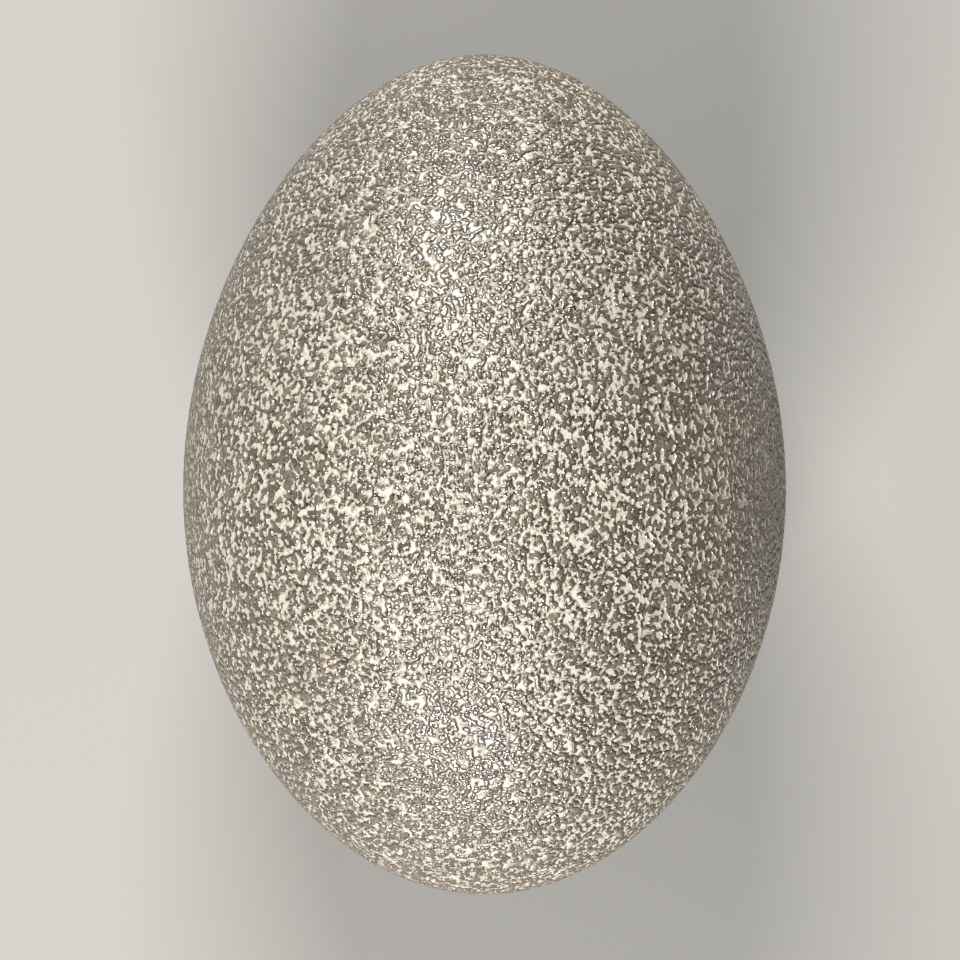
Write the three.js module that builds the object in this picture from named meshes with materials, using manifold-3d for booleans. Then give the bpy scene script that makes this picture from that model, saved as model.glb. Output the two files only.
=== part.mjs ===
// Emu egg, lying on its side.
//
// Units are millimetres and +Z is up. The long axis is level and lies along Y, with the
// slightly narrower end towards +Y and the blunter end towards -Y. The origin is under the
// middle of the egg, on the plane of the small flat spot that it rests on.
//
// The surface here is the smooth envelope that touches the tops of the shell's fine pebbling.

import * as THREE from "three";
import { mergeVertices } from "three/addons/utils/BufferGeometryUtils.js";
import Module from "manifold-3d";

// Driving dimensions of the shell
const LENGTH = 134.1; // end to end, along the long axis
const BREADTH = 96.2; // across the widest section
const END_DIFFERENCE = -0.041; // below zero, the end towards -Y is the blunter one
const END_TAPER = -0.065; // below zero, both ends are slimmer than an ellipsoid's

// The spot that the egg rests on
const FLAT_SPOT_DEPTH = 0.4; // how far the spot is set into the round of the shell

// Fineness of the facets
const RINGS_ALONG = 52;
const FACETS_AROUND = 80;

// Finish of the shell, seen from far enough away for its two colours to mix
const SHELL_COLOUR = 0x9a9284;
const SHELL_ROUGHNESS = 0.45;

const manifold = await Module();
manifold.setup();

/** Radius of the shell where the distance from the middle is `along` half lengths. */
function shellRadius(along) {
  const ellipse = Math.sqrt(Math.max(0, 1 - along * along));
  return (BREADTH / 2) * ellipse * (1 + END_DIFFERENCE * along + END_TAPER * along * along);
}

/** Half of the egg's outline, from the blunt end's tip to the narrow end's, both on the axis. */
function shellProfile() {
  const points = [];
  for (let ring = 0; ring <= RINGS_ALONG; ring += 1) {
    const along = -Math.cos((Math.PI * ring) / RINGS_ALONG);
    const atTip = ring === 0 || ring === RINGS_ALONG;
    points.push(new THREE.Vector2(atTip ? 0 : shellRadius(along), (along * LENGTH) / 2));
  }
  return points;
}

/** A solid made from a closed geometry, with shared corners merged and collapsed faces left out. */
function solidFrom(geometry) {
  geometry.deleteAttribute("normal");
  geometry.deleteAttribute("uv");
  const merged = mergeVertices(geometry, 1e-4);
  const corners = merged.index.array;
  const faces = [];
  for (let i = 0; i < corners.length; i += 3) {
    const [a, b, c] = corners.slice(i, i + 3);
    if (a !== b && b !== c && c !== a) {
      faces.push(a, b, c);
    }
  }
  const vertProperties = new Float32Array(merged.attributes.position.array);
  const mesh = new manifold.Mesh({ numProp: 3, vertProperties, triVerts: new Uint32Array(faces) });
  return new manifold.Manifold(mesh);
}

/** A geometry made from a solid, ready for a mesh. */
function geometryFrom(solid) {
  const { vertProperties, triVerts } = solid.getMesh();
  const geometry = new THREE.BufferGeometry();
  geometry.setAttribute("position", new THREE.BufferAttribute(vertProperties, 3));
  geometry.setIndex(new THREE.BufferAttribute(triVerts, 1));
  geometry.computeVertexNormals();
  return geometry;
}

/** Greatest radius of the faceted shell, which is what the resting plane is measured from. */
function greatestRadius() {
  return Math.max(...shellProfile().map((point) => point.x));
}

/** The shell as a closed body of revolution, with its resting spot cut flat on the plane Z = 0. */
function buildShell() {
  const axisHeight = greatestRadius() - FLAT_SPOT_DEPTH;
  const round = new THREE.LatheGeometry(shellProfile(), FACETS_AROUND);
  round.translate(0, 0, axisHeight);
  const below = new THREE.BoxGeometry(BREADTH, LENGTH, BREADTH);
  below.translate(0, 0, -BREADTH / 2);
  return geometryFrom(solidFrom(round).subtract(solidFrom(below)));
}

const shellFinish = new THREE.MeshStandardMaterial({
  color: SHELL_COLOUR,
  roughness: SHELL_ROUGHNESS,
  metalness: 0,
});

const egg = new THREE.Mesh(buildShell(), shellFinish);
egg.name = "egg";

const part = new THREE.Group();
part.add(egg);

export default part;
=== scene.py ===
"""Dresses the emu egg: its pebbled shell, and the small studio that it is shown in.

The egg lies on its side with its long axis along Y and its narrower end towards +Y. Lengths are
metres, except where a name ends in _mm. The shell is six grids, blown up from the faces of a
cube, that meet edge to edge with shared corners, so that each stays light enough to export whole.
"""

import logging
import math
from dataclasses import dataclass
from enum import Enum

import bpy
import numpy as np
from mathutils import Color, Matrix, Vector


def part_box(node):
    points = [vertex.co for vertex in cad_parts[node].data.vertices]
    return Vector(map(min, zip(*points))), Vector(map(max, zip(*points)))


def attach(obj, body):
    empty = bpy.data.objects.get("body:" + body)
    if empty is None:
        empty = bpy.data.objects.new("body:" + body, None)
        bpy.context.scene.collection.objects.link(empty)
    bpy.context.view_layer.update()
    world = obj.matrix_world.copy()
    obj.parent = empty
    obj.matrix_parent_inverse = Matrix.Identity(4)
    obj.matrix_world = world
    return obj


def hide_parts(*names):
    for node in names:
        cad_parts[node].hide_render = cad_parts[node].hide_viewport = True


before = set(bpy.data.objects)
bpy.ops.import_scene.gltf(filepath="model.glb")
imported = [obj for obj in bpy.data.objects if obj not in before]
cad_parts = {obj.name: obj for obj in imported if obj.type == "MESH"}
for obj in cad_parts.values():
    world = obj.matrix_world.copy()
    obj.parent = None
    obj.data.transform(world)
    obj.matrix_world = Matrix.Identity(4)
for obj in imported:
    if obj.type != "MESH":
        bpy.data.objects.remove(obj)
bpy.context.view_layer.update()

LOG = logging.getLogger("emu_egg")

MM = 0.001
TINY = 1e-6

# The shell's own attributes: where each point is on the smooth shell, and the way out of it there
PLACE = "place_mm"
OUTWARD = "outward"

# What a noise texture gives: its usual value, and the span that it keeps to, near enough
NOISE_MIDDLE = 0.5
NOISE_SPAN = (0.2, 0.8)

# A mix node's sockets for colours
COLOUR_A = 6
COLOUR_B = 7
COLOUR_OUT = 2

# A grid's width, which puts its borders at minus one and one
GRID_WIDTH = 2.0


def srgb(code: str) -> tuple[float, float, float, float]:
    """Turns an sRGB colour into the linear one that Blender's sockets hold.

    Args:
        code: Six hex digits, such as "e9e3d0".

    Returns:
        Linear red, green and blue, and an alpha of one.
    """
    full = 255
    colour = Color([value / full for value in bytes.fromhex(code)])
    return (*colour.from_srgb_to_scene_linear(), 1.0)


def add_node(
    tree: bpy.types.NodeTree,
    kind: str,
    settings: dict[str, object] | None = None,
    inputs: dict[int | str, object] | None = None,
) -> bpy.types.Node:
    """Adds one node, with its settings, its plain input values and its links.

    Args:
        tree: The shader tree or geometry tree that the node goes in.
        kind: Blender's name for the kind of node.
        settings: The node's own properties and their values.
        inputs: What each input socket holds: a value, or the socket that it is linked to, or the
            node whose first output it is linked to.

    Returns:
        The new node.
    """
    node = tree.nodes.new(kind)
    for name, value in (settings or {}).items():
        setattr(node, name, value)
    for key, value in (inputs or {}).items():
        if isinstance(value, bpy.types.Node):
            value = value.outputs[0]
        if isinstance(value, bpy.types.NodeSocket):
            tree.links.new(value, node.inputs[key])
        else:
            node.inputs[key].default_value = value
    return node


@dataclass(frozen=True)
class Spot:
    """A small round spot on the shell."""

    centre_mm: tuple[float, float, float]
    radius_mm: float

    def nearness(self, tree: bpy.types.NodeTree, place: bpy.types.NodeSocket) -> bpy.types.Node:
        """Works out how near the spot's centre a place on the shell is.

        Args:
            tree: The shader tree or geometry tree to work it out in.
            place: The place on the smooth shell, in millimetres.

        Returns:
            The node that gives one at the centre, falling smoothly to zero at the radius.
        """
        inputs = {0: place, 1: self.centre_mm}
        away = add_node(tree, "ShaderNodeVectorMath", {"operation": "DISTANCE"}, inputs)
        inputs = {"Value": away.outputs["Value"], "From Min": self.radius_mm, "From Max": 0.0}
        return add_node(tree, "ShaderNodeMapRange", {"interpolation_type": "SMOOTHSTEP"}, inputs)


@dataclass(frozen=True)
class Pebbling:
    """The pattern of glossy pebbles that stands on the shell's paler ground.

    The pattern's level is above zero on a pebble and below zero on the ground. It mixes round
    beads, from a cell texture, with winding ripples, from a noise texture, so that beads run
    together into short worms. Both textures are turned, to keep their grids out of line with the
    shell.
    """

    # How the textures are turned, in radians, and how many finer layers their noise has
    turn: tuple[float, float, float] = (0.6, 0.45, 0.3)
    noise_detail: float = 0.0

    # Beads: their spacing, how softly they merge, their weight in the level, their girth in
    # pitches with its spread, and the size and strength of the stir that bends them
    pitch_mm: float = 0.92
    merging: float = 0.28
    beads: float = 0.9
    girth: float = 0.585
    girth_spread: float = 0.05
    wander_mm: float = 0.78
    wander: float = 0.35

    # Ripples, and a slow drift from more pebbles to fewer: the size of each and its weight
    ripple_mm: float = 0.73
    ripple: float = 0.9
    drift_mm: float = 14.0
    drift: float = 0.05

    # Relief: its height, the levels at a pebble's foot, shoulder and crown, how full its round
    # is, and the waves in the shell
    height_mm: float = 0.22
    foot: float = -0.15
    shoulder: float = 0.09
    crown: float = 0.56
    plumpness: float = 2.0
    swell_mm: float = 2.2
    swell: float = 0.22

    # How far apart levels are compared to find a slope, and how far the mesh slides to an edge
    nudge_mm: float = 0.03
    reach_mm: float = 0.13

    # Patches where the pebbles are sparse or missing
    bareness: float = 0.42
    bare_patches: tuple[Spot, ...] = (
        Spot((23.7, 45.8, 70.8), 1.9),
        Spot((-7.6, 40.0, 83.7), 1.5),
        Spot((-4.4, 41.4, 83.4), 1.0),
        Spot((13.3, -9.9, 93.6), 1.6),
        Spot((11.3, -39.6, 84.9), 1.3),
        Spot((12.9, -42.4, 82.7), 1.3),
        Spot((0.3, -61.5, 66.6), 1.2),
    )

    def level(self, tree: bpy.types.NodeTree, place: bpy.types.NodeSocket) -> bpy.types.NodeSocket:
        """Works out how far inside a pebble a place on the shell is.

        Args:
            tree: The shader tree or geometry tree to work it out in.
            place: The place on the smooth shell, in millimetres.

        Returns:
            The level, above zero on a pebble.
        """
        inputs = {"Vector": place, "Rotation": self.turn}
        turned = add_node(tree, "ShaderNodeVectorRotate", {"rotation_type": "EULER_XYZ"}, inputs)
        inputs = {"Vector": turned, "Scale": 1 / self.wander_mm, "Detail": self.noise_detail}
        stir = add_node(tree, "ShaderNodeTexNoise", None, inputs).outputs["Color"]
        inputs = {0: stir, 1: (NOISE_MIDDLE,) * 3}
        stir = add_node(tree, "ShaderNodeVectorMath", {"operation": "SUBTRACT"}, inputs)
        inputs = {0: stir, 1: (self.wander,) * 3, 2: turned}
        stirred = add_node(tree, "ShaderNodeVectorMath", {"operation": "MULTIPLY_ADD"}, inputs)
        inputs = {"Vector": stirred, "Scale": 1 / self.pitch_mm, "Smoothness": self.merging}
        cells = add_node(tree, "ShaderNodeTexVoronoi", {"feature": "SMOOTH_F1"}, inputs)
        lot = add_node(tree, "ShaderNodeSeparateXYZ", None, {0: cells.outputs["Color"]})
        inputs = {0: lot, 1: self.girth_spread, 2: self.girth}
        girth = add_node(tree, "ShaderNodeMath", {"operation": "MULTIPLY_ADD"}, inputs)
        inputs = {0: girth, 1: cells.outputs["Distance"]}
        inside = add_node(tree, "ShaderNodeMath", {"operation": "SUBTRACT"}, inputs)
        inputs = {0: inside, 1: self.beads}
        level = add_node(tree, "ShaderNodeMath", {"operation": "MULTIPLY"}, inputs)
        for size_mm, depth in ((self.ripple_mm, self.ripple), (self.drift_mm, self.drift)):
            inputs = {"Vector": turned, "Scale": 1 / size_mm, "Detail": self.noise_detail}
            lumps = add_node(tree, "ShaderNodeTexNoise", None, inputs)
            inputs = {0: lumps, 1: NOISE_MIDDLE}
            lumps = add_node(tree, "ShaderNodeMath", {"operation": "SUBTRACT"}, inputs)
            inputs = {0: lumps, 1: depth, 2: level}
            level = add_node(tree, "ShaderNodeMath", {"operation": "MULTIPLY_ADD"}, inputs)
        for patch in self.bare_patches:
            inputs = {0: patch.nearness(tree, place), 1: -self.bareness, 2: level}
            level = add_node(tree, "ShaderNodeMath", {"operation": "MULTIPLY_ADD"}, inputs)
        return level.outputs[0]

    def edged(
        self, tree: bpy.types.NodeTree, place: bpy.types.NodeSocket, outward: bpy.types.NodeSocket
    ) -> bpy.types.NodeSocket:
        """Slides a place along the shell onto a pebble's foot or shoulder, if one is in reach.

        Args:
            tree: The geometry tree to work it out in.
            place: The place on the smooth shell, in millimetres.
            outward: The way out of the shell at that place.

        Returns:
            The place, on the near edge of a pebble's wall if that is in reach.
        """
        level = self.level(tree, place)
        rates = {}
        for axis in range(3):
            step = tuple(self.nudge_mm if axis == other else 0.0 for other in range(3))
            beside = add_node(tree, "ShaderNodeVectorMath", {"operation": "ADD"}, {0: place, 1: step})
            inputs = {0: self.level(tree, beside.outputs[0]), 1: level}
            change = add_node(tree, "ShaderNodeMath", {"operation": "SUBTRACT"}, inputs)
            inputs = {0: change, 1: self.nudge_mm}
            rates[axis] = add_node(tree, "ShaderNodeMath", {"operation": "DIVIDE"}, inputs)
        rate = add_node(tree, "ShaderNodeCombineXYZ", None, rates)
        inputs = {0: rate, 1: outward}
        share = add_node(tree, "ShaderNodeVectorMath", {"operation": "DOT_PRODUCT"}, inputs)
        inputs = {0: outward, "Scale": share.outputs["Value"]}
        through = add_node(tree, "ShaderNodeVectorMath", {"operation": "SCALE"}, inputs)
        inputs = {0: rate, 1: through}
        along = add_node(tree, "ShaderNodeVectorMath", {"operation": "SUBTRACT"}, inputs)
        steep = add_node(tree, "ShaderNodeVectorMath", {"operation": "LENGTH"}, {0: along})
        middle = (self.foot + self.shoulder) / 2
        inputs = {"Value": level, "From Min": middle - TINY, "From Max": middle + TINY}
        inputs.update({"To Min": self.foot, "To Max": self.shoulder})
        aim = add_node(tree, "ShaderNodeMapRange", None, inputs)
        gap = add_node(tree, "ShaderNodeMath", {"operation": "SUBTRACT"}, {0: aim, 1: level})
        inputs = {0: gap, 1: steep.outputs["Value"]}
        slide = add_node(tree, "ShaderNodeMath", {"operation": "DIVIDE"}, inputs)
        far = add_node(tree, "ShaderNodeMath", {"operation": "ABSOLUTE"}, {0: slide})
        inputs = {0: far, 1: self.reach_mm}
        near = add_node(tree, "ShaderNodeMath", {"operation": "LESS_THAN"}, inputs)
        slide = add_node(tree, "ShaderNodeMath", {"operation": "MULTIPLY"}, {0: slide, 1: near})
        way = add_node(tree, "ShaderNodeVectorMath", {"operation": "NORMALIZE"}, {0: along})
        inputs = {0: way, 1: slide, 2: place}
        return add_node(tree, "ShaderNodeVectorMath", {"operation": "MULTIPLY_ADD"}, inputs).outputs[0]

    def rise(self, tree: bpy.types.NodeTree, place: bpy.types.NodeSocket) -> bpy.types.NodeSocket:
        """Works out the shell's relief: plump pebbles with steep walls, on wavy ground.

        Args:
            tree: The shader tree or geometry tree to work it out in.
            place: The place on the smooth shell, in millimetres.

        Returns:
            The relief, at most one, on the tops of the highest pebbles.
        """
        level = self.level(tree, place)
        inputs = {"Value": level, "From Min": self.crown, "From Max": self.foot}
        short = add_node(tree, "ShaderNodeMapRange", None, inputs)
        inputs = {0: short, 1: self.plumpness}
        dip = add_node(tree, "ShaderNodeMath", {"operation": "POWER"}, inputs)
        left = add_node(tree, "ShaderNodeMath", {"operation": "SUBTRACT"}, {0: 1.0, 1: dip})
        inputs = {0: left, 1: 1 / self.plumpness}
        pebble = add_node(tree, "ShaderNodeMath", {"operation": "POWER"}, inputs)
        inputs = {"Vector": place, "Scale": 1 / self.swell_mm, "Detail": self.noise_detail}
        waves = add_node(tree, "ShaderNodeTexNoise", None, inputs)
        inputs = {"Value": waves, "From Min": NOISE_SPAN[0], "From Max": NOISE_SPAN[1]}
        inputs.update({"To Min": -self.swell, "To Max": 0.0})
        waves = add_node(tree, "ShaderNodeMapRange", None, inputs)
        inputs = {0: pebble, 1: waves}
        return add_node(tree, "ShaderNodeMath", {"operation": "ADD"}, inputs).outputs[0]


@dataclass(frozen=True)
class EggshellFinish:
    """Eggshell: calcite with a pigmented, waxy cuticle, grown in the bird and never worked.

    The cuticle's raised pebbles are dark taupe and glossy; their steep walls carry painted shade,
    darker than the pebbles' own colour. The chalky ground between them is cream and matte, a
    little browner where it meets a pebble. A few small spots are plain white.
    """

    # Colours, and the levels of the pebbling at which one gives way to the next
    # Painted shade: the first colour darkens the pebbles' steep walls, and fades into their own colour
    # by the level after it
    painted_wall_shade: str = "352e26"
    wall_shade_reach: float = 0.25
    pebble_dark: str = "564d42"
    pebble_light: str = "74695b"
    ground_cream: str = "b9b3a4"
    ground_foot: str = "a59985"
    foot_reach: float = 0.2
    edge: tuple[float, float] = (-0.04, 0.11)

    # How the pebbles' own colour varies over the shell
    tint_mm: float = 2.6
    tint_detail: float = 2.0
    tint_range: tuple[float, float] = (0.35, 0.65)

    # Gloss: the index is calcite's, and a level of one doubles its glints, as the real ones ask
    gloss_ior: float = 1.6
    gloss_level: float = 1.0
    pebble_roughness: float = 0.13
    ground_roughness: float = 0.6

    # Relief that the light sees, against the mesh's, which is too coarse for the steep walls. The
    # chalk's grain is too fine to see, and is drawn as coarse as it needs to show.
    depth: float = 2.8
    grain_mm: float = 0.2
    grain: float = 0.1

    # Small round spots that are plain white
    # The plain white that the small spots are laid over with
    calcite: str = "f6f4ef"
    white_spots: tuple[Spot, ...] = (
        Spot((28.75, 6.5, 85.7), 0.7),
        Spot((28.6, 7.2, 85.7), 0.7),
        Spot((28.2, 8.3, 85.9), 0.4),
    )

    def material(self, pebbling: Pebbling) -> bpy.types.Material:
        """Builds the eggshell's material.

        Args:
            pebbling: The pattern that the shell's relief follows.

        Returns:
            The material.
        """
        made = bpy.data.materials.new("eggshell_cuticle")
        made.use_nodes = True
        tree = made.node_tree
        tree.nodes.clear()
        place = add_node(tree, "ShaderNodeAttribute", {"attribute_name": PLACE}).outputs["Vector"]
        outward = add_node(tree, "ShaderNodeAttribute", {"attribute_name": OUTWARD}).outputs["Vector"]
        level = pebbling.level(tree, place)
        smooth = {"interpolation_type": "SMOOTHSTEP"}
        inputs = {"Value": level, "From Min": self.edge[0], "From Max": self.edge[1]}
        on_pebble = add_node(tree, "ShaderNodeMapRange", smooth, inputs)
        colour = self.colour(tree, place, level, on_pebble)
        inputs = {"Value": on_pebble, "To Min": self.ground_roughness, "To Max": self.pebble_roughness}
        roughness = add_node(tree, "ShaderNodeMapRange", None, inputs)
        inputs = {"Vector": place, "Scale": 1 / self.grain_mm, "Detail": pebbling.noise_detail}
        grain = add_node(tree, "ShaderNodeTexNoise", None, inputs)
        inputs = {0: grain, 1: self.grain, 2: pebbling.rise(tree, place)}
        height = add_node(tree, "ShaderNodeMath", {"operation": "MULTIPLY_ADD"}, inputs)
        deepest = self.depth * pebbling.height_mm * MM
        inputs = {"Height": height, "Distance": deepest, "Normal": outward}
        relief = add_node(tree, "ShaderNodeBump", None, inputs)
        inputs = {
            "Base Color": colour,
            "Roughness": roughness,
            "IOR": self.gloss_ior,
            "Specular IOR Level": self.gloss_level,
            "Normal": relief,
        }
        shader = add_node(tree, "ShaderNodeBsdfPrincipled", None, inputs)
        add_node(tree, "ShaderNodeOutputMaterial", None, {"Surface": shader})
        return made

    def colour(
        self,
        tree: bpy.types.NodeTree,
        place: bpy.types.NodeSocket,
        level: bpy.types.NodeSocket,
        on_pebble: bpy.types.Node,
    ) -> bpy.types.NodeSocket:
        """Works out the shell's colour at a place, with painted shade on the pebbles' walls.

        Args:
            tree: The shader tree to work it out in.
            place: The place on the smooth shell, in millimetres.
            level: The pebbling's level there.
            on_pebble: The node that gives one on a pebble and zero on the ground.

        Returns:
            The colour.
        """
        smooth = {"interpolation_type": "SMOOTHSTEP"}
        colours = {"data_type": "RGBA"}
        inputs = {"Vector": place, "Scale": 1 / self.tint_mm, "Detail": self.tint_detail}
        tint = add_node(tree, "ShaderNodeTexNoise", None, inputs)
        inputs = {"Value": tint, "From Min": self.tint_range[0], "From Max": self.tint_range[1]}
        tint = add_node(tree, "ShaderNodeMapRange", smooth, inputs)
        inputs = {0: tint, COLOUR_A: srgb(self.pebble_dark), COLOUR_B: srgb(self.pebble_light)}
        pebble = add_node(tree, "ShaderNodeMix", colours, inputs).outputs[COLOUR_OUT]
        # Painted shade on the walls: dark at a pebble's edge, fading into its own colour higher up
        inputs = {"Value": level, "From Min": self.edge[1], "From Max": self.wall_shade_reach}
        on_crown = add_node(tree, "ShaderNodeMapRange", smooth, inputs)
        inputs = {0: on_crown, COLOUR_A: srgb(self.painted_wall_shade), COLOUR_B: pebble}
        pebble = add_node(tree, "ShaderNodeMix", colours, inputs).outputs[COLOUR_OUT]
        inputs = {"Value": level, "From Min": -self.foot_reach, "From Max": self.edge[0]}
        at_foot = add_node(tree, "ShaderNodeMapRange", smooth, inputs)
        inputs = {0: at_foot, COLOUR_A: srgb(self.ground_cream), COLOUR_B: srgb(self.ground_foot)}
        ground = add_node(tree, "ShaderNodeMix", colours, inputs).outputs[COLOUR_OUT]
        inputs = {0: on_pebble, COLOUR_A: ground, COLOUR_B: pebble}
        colour = add_node(tree, "ShaderNodeMix", colours, inputs).outputs[COLOUR_OUT]
        # Small round spots turn plain white
        for white_spot in self.white_spots:
            whitened = white_spot.nearness(tree, place)
            inputs = {0: whitened, COLOUR_A: colour, COLOUR_B: srgb(self.calcite)}
            colour = add_node(tree, "ShaderNodeMix", colours, inputs).outputs[COLOUR_OUT]
        return colour


@dataclass(frozen=True)
class PaperFinish:
    """Heavy background paper: pale, uncoated and quite without gloss."""

    colour: str = "918f8a"
    roughness: float = 0.85

    def material(self) -> bpy.types.Material:
        """Builds the paper's material.

        Returns:
            The material.
        """
        made = bpy.data.materials.new("background_paper")
        made.use_nodes = True
        shader = made.node_tree.nodes["Principled BSDF"]
        shader.inputs["Base Color"].default_value = srgb(self.colour)
        shader.inputs["Roughness"].default_value = self.roughness
        return made


class Side(Enum):
    """The six grids: the way each faces, and the ways its columns and rows run."""

    TOP = ("shell_top", (0, 0, 1), (1, 0, 0), (0, 1, 0))
    UNDERSIDE = ("shell_underside", (0, 0, -1), (-1, 0, 0), (0, 1, 0))
    RIGHT = ("shell_right", (1, 0, 0), (0, 0, -1), (0, 1, 0))
    LEFT = ("shell_left", (-1, 0, 0), (0, 0, 1), (0, 1, 0))
    NARROW_END = ("shell_narrow_end", (0, 1, 0), (0, 0, 1), (1, 0, 0))
    BLUNT_END = ("shell_blunt_end", (0, -1, 0), (1, 0, 0), (0, 0, 1))


@dataclass
class PebbledShell:
    """The whole outside of the egg, with its pebbles raised in the mesh."""

    length: float
    axis_height: float

    # Outline: an ellipse's with slimmer ends, of which the one towards -Y is the blunter
    breadth: float = 0.0962
    end_difference: float = -0.041
    end_taper: float = -0.065

    # Steps in each grid, round the egg and along it
    columns: int = 264
    rows: int = 340

    pebbling: Pebbling = Pebbling()
    finish: EggshellFinish = EggshellFinish()

    def build(self) -> list[bpy.types.Object]:
        """Makes the six grids, raises their pebbles and dresses them.

        Returns:
            The six finished pieces.
        """
        relief = self.relief_tree()
        material = self.finish.material(self.pebbling)
        return [self.build_side(side, relief, material) for side in Side]

    def build_side(
        self, side: Side, relief: bpy.types.NodeTree, material: bpy.types.Material
    ) -> bpy.types.Object:
        """Makes one of the six grids.

        Args:
            side: Which grid to make.
            relief: The geometry tree that raises the pebbles.
            material: The shell's material.

        Returns:
            The finished piece.
        """
        name, facing, across, along = side.value
        ends = side in (Side.NARROW_END, Side.BLUNT_END)
        rows = self.columns if ends else self.rows
        bpy.ops.object.select_all(action="DESELECT")
        bpy.ops.mesh.primitive_grid_add(
            x_subdivisions=self.columns, y_subdivisions=rows, size=GRID_WIDTH
        )
        piece = bpy.context.object
        piece.name = name
        piece.data.name = name
        piece.data.uv_layers[0].name = "OFBake"
        self.wrap(piece.data, facing, across, along)
        modifier = piece.modifiers.new("pebbles", "NODES")
        modifier.node_group = relief
        bpy.ops.object.modifier_apply(modifier=modifier.name)
        bpy.ops.object.shade_smooth()
        piece.data.materials.clear()
        piece.data.materials.append(material)
        return piece

    def wrap(
        self,
        mesh: bpy.types.Mesh,
        facing: tuple[int, int, int],
        across: tuple[int, int, int],
        along: tuple[int, int, int],
    ) -> None:
        """Wraps a flat grid onto its share of the smooth shell, in steps of equal angle.

        Args:
            mesh: The grid, with its borders at minus one and one.
            facing: The way that this share of the shell faces.
            across: The way that the grid's X axis turns to.
            along: The way that the grid's Y axis turns to.
        """
        flat = np.empty(len(mesh.vertices) * 3)
        mesh.vertices.foreach_get("co", flat)
        flat = flat.reshape(-1, 3)
        at_border = np.abs(flat) > 1 - TINY
        tangents = np.where(at_border, np.sign(flat), np.tan(flat * math.pi / 4))
        rays = np.add(facing, tangents[:, :1] * across + tangents[:, 1:2] * along)
        ball = rays / np.linalg.norm(rays, axis=1, keepdims=True)
        way = ball[:, 1]
        half_breadth, half_length = self.breadth / 2, self.length / 2
        shape = 1 + self.end_difference * way + self.end_taper * way**2
        slope = self.end_difference + 2 * self.end_taper * way
        girth = half_breadth * shape
        centre = np.array((0.0, 0.0, self.axis_height))
        smooth = ball * np.column_stack((girth, np.full_like(way, half_length), girth)) + centre
        lean = half_breadth**2 * shape * (way * shape - (1 - way**2) * slope) / half_length
        outward = np.column_stack((ball[:, 0] * girth, lean, ball[:, 2] * girth))
        outward /= np.linalg.norm(outward, axis=1, keepdims=True)
        mesh.vertices.foreach_set("co", smooth.ravel())
        for title, values in ((PLACE, smooth / MM), (OUTWARD, outward)):
            attribute = mesh.attributes.new(title, "FLOAT_VECTOR", "POINT")
            attribute.data.foreach_set("vector", values.ravel())

    def relief_tree(self) -> bpy.types.NodeTree:
        """Builds the geometry tree that sinks the ground below the tops of the pebbles.

        It also lifts what would reach below the floor up to it, which flattens the resting spot.

        Returns:
            The tree, for a Geometry Nodes modifier.
        """
        tree = bpy.data.node_groups.new("raise_pebbles", "GeometryNodeTree")
        tree.interface.new_socket("Geometry", in_out="INPUT", socket_type="NodeSocketGeometry")
        tree.interface.new_socket("Geometry", in_out="OUTPUT", socket_type="NodeSocketGeometry")
        start = add_node(tree, "NodeGroupInput")
        kind = {"data_type": "FLOAT_VECTOR"}
        place = add_node(tree, "GeometryNodeInputNamedAttribute", kind, {"Name": PLACE}).outputs[0]
        outward = add_node(tree, "GeometryNodeInputNamedAttribute", kind, {"Name": OUTWARD}).outputs[0]
        edged = self.pebbling.edged(tree, place, outward)
        inputs = {"Geometry": start, "Name": PLACE, "Value": edged}
        kept = add_node(tree, "GeometryNodeStoreNamedAttribute", kind, inputs)

        # From here on, what is read as the place is the one that was just stored
        rise = self.pebbling.rise(tree, place)
        sunk = add_node(tree, "ShaderNodeMath", {"operation": "SUBTRACT"}, {0: rise, 1: 1.0})
        inputs = {0: sunk, 1: self.pebbling.height_mm * MM}
        depth = add_node(tree, "ShaderNodeMath", {"operation": "MULTIPLY"}, inputs)
        inputs = {0: place, 1: (MM,) * 3}
        smooth = add_node(tree, "ShaderNodeVectorMath", {"operation": "MULTIPLY"}, inputs)
        inputs = {0: outward, 1: depth, 2: smooth}
        placed = add_node(tree, "ShaderNodeVectorMath", {"operation": "MULTIPLY_ADD"}, inputs)
        inputs = {0: placed, 1: (-self.length, -self.length, 0.0)}
        rested = add_node(tree, "ShaderNodeVectorMath", {"operation": "MAXIMUM"}, inputs)
        inputs = {"Geometry": kept, "Position": rested}
        moved = add_node(tree, "GeometryNodeSetPosition", None, inputs)
        add_node(tree, "NodeGroupOutput", None, {0: moved})
        return tree


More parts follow.
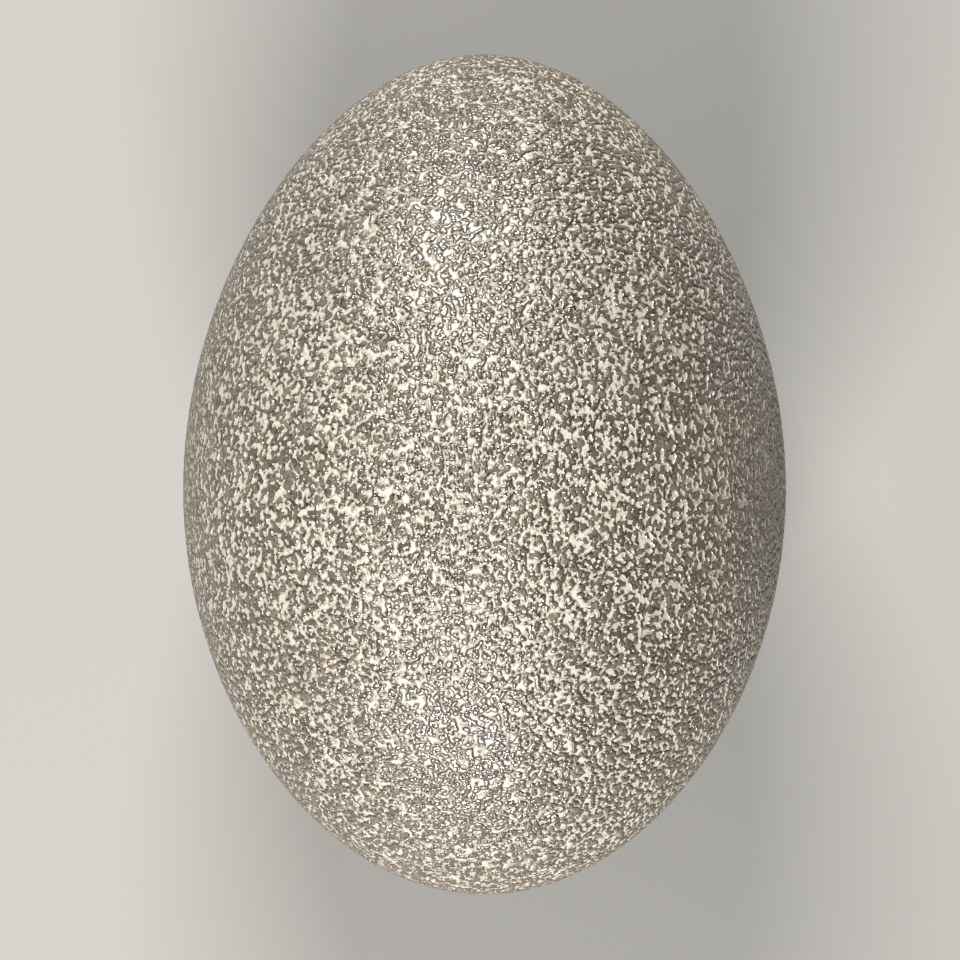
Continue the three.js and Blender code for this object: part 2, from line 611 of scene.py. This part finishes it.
@dataclass
class Studio:
    """A pale floor, a large soft light towards each end of the egg, and the camera above it."""

    target: tuple[float, float, float]

    # Camera, with its shift and its frame's width given at the egg
    camera_rise: float = 1.0
    camera_shift: tuple[float, float] = (-0.00073, -0.00091)
    frame_width: float = 0.15335
    sensor_mm: float = 36.0

    # Floor
    floor_size: float = 8.0
    floor_finish: PaperFinish = PaperFinish()

    # Lights: how far off and how far aside they hang, their size, and for each one its lean from
    # straight overhead towards +Y, in degrees, and its watts
    light_reach: float = 0.8
    light_side: float = -0.11
    light_size: tuple[float, float] = (0.4, 0.3)
    lights: tuple[tuple[float, float], ...] = ((52.0, 11.6), (-53.0, 13.1))

    # Light from all round
    sky_colour: str = "dcdfe3"
    sky_strength: float = 0.02

    def build(self) -> None:
        """Makes the floor, the lights, the sky and the camera."""
        self.build_floor()
        for lean, watts in self.lights:
            self.build_light(math.radians(lean), watts)
        self.build_sky()
        self.build_camera()

    def build_floor(self) -> None:
        """Lays a plain matte floor under the egg."""
        bpy.ops.object.select_all(action="DESELECT")
        bpy.ops.mesh.primitive_plane_add(size=self.floor_size)
        floor = bpy.context.object
        floor.name = "floor"
        floor.data.materials.append(self.floor_finish.material())

    def build_light(self, lean: float, watts: float) -> None:
        """Hangs one soft light over the egg, facing its middle.

        Args:
            lean: How far it leans from straight overhead towards +Y, in radians.
            watts: Its power.
        """
        data = bpy.data.lights.new("softbox", "AREA")
        data.shape = "RECTANGLE"
        data.size, data.size_y = self.light_size
        data.energy = watts
        light = bpy.data.objects.new("softbox", data)
        bpy.context.scene.collection.objects.link(light)
        rise, along = self.light_reach * math.cos(lean), self.light_reach * math.sin(lean)
        offset = Vector((self.light_side, along, rise))
        light.location = Vector(self.target) + offset
        light.rotation_euler = offset.to_track_quat("Z", "Y").to_euler()

    def build_sky(self) -> None:
        """Fills the room with a little even light."""
        world = bpy.data.worlds.new("room")
        bpy.context.scene.world = world
        world.use_nodes = True
        background = world.node_tree.nodes["Background"]
        background.inputs["Color"].default_value = srgb(self.sky_colour)
        background.inputs["Strength"].default_value = self.sky_strength

    def build_camera(self) -> None:
        """Places the camera straight above the egg, with the narrow end at the picture's top."""
        data = bpy.data.cameras.new("camera")
        data.sensor_width = self.sensor_mm
        data.lens = self.sensor_mm * self.camera_rise / self.frame_width
        camera = bpy.data.objects.new("camera", data)
        bpy.context.scene.collection.objects.link(camera)
        camera.location = Vector(self.target) + Vector((*self.camera_shift, self.camera_rise))
        bpy.context.scene.camera = camera
        bpy.context.scene.view_settings.view_transform = "Standard"


def main() -> None:
    """Builds the egg and the studio, and reports each piece."""
    logging.basicConfig(level=logging.INFO)
    low, high = (np.array(corner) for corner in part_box("egg"))
    axis_height = float(high[2] - (high[0] - low[0]) / 2)
    shell = PebbledShell(length=float(high[1] - low[1]), axis_height=axis_height)
    pieces = shell.build()
    for piece in pieces:
        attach(piece, "root")
        LOG.info("%s: %d faces", piece.name, len(piece.data.polygons))
    for piece in pieces:
        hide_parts("egg")
    Studio(target=(0.0, 0.0, axis_height)).build()


if __name__ == "__main__":
    main()
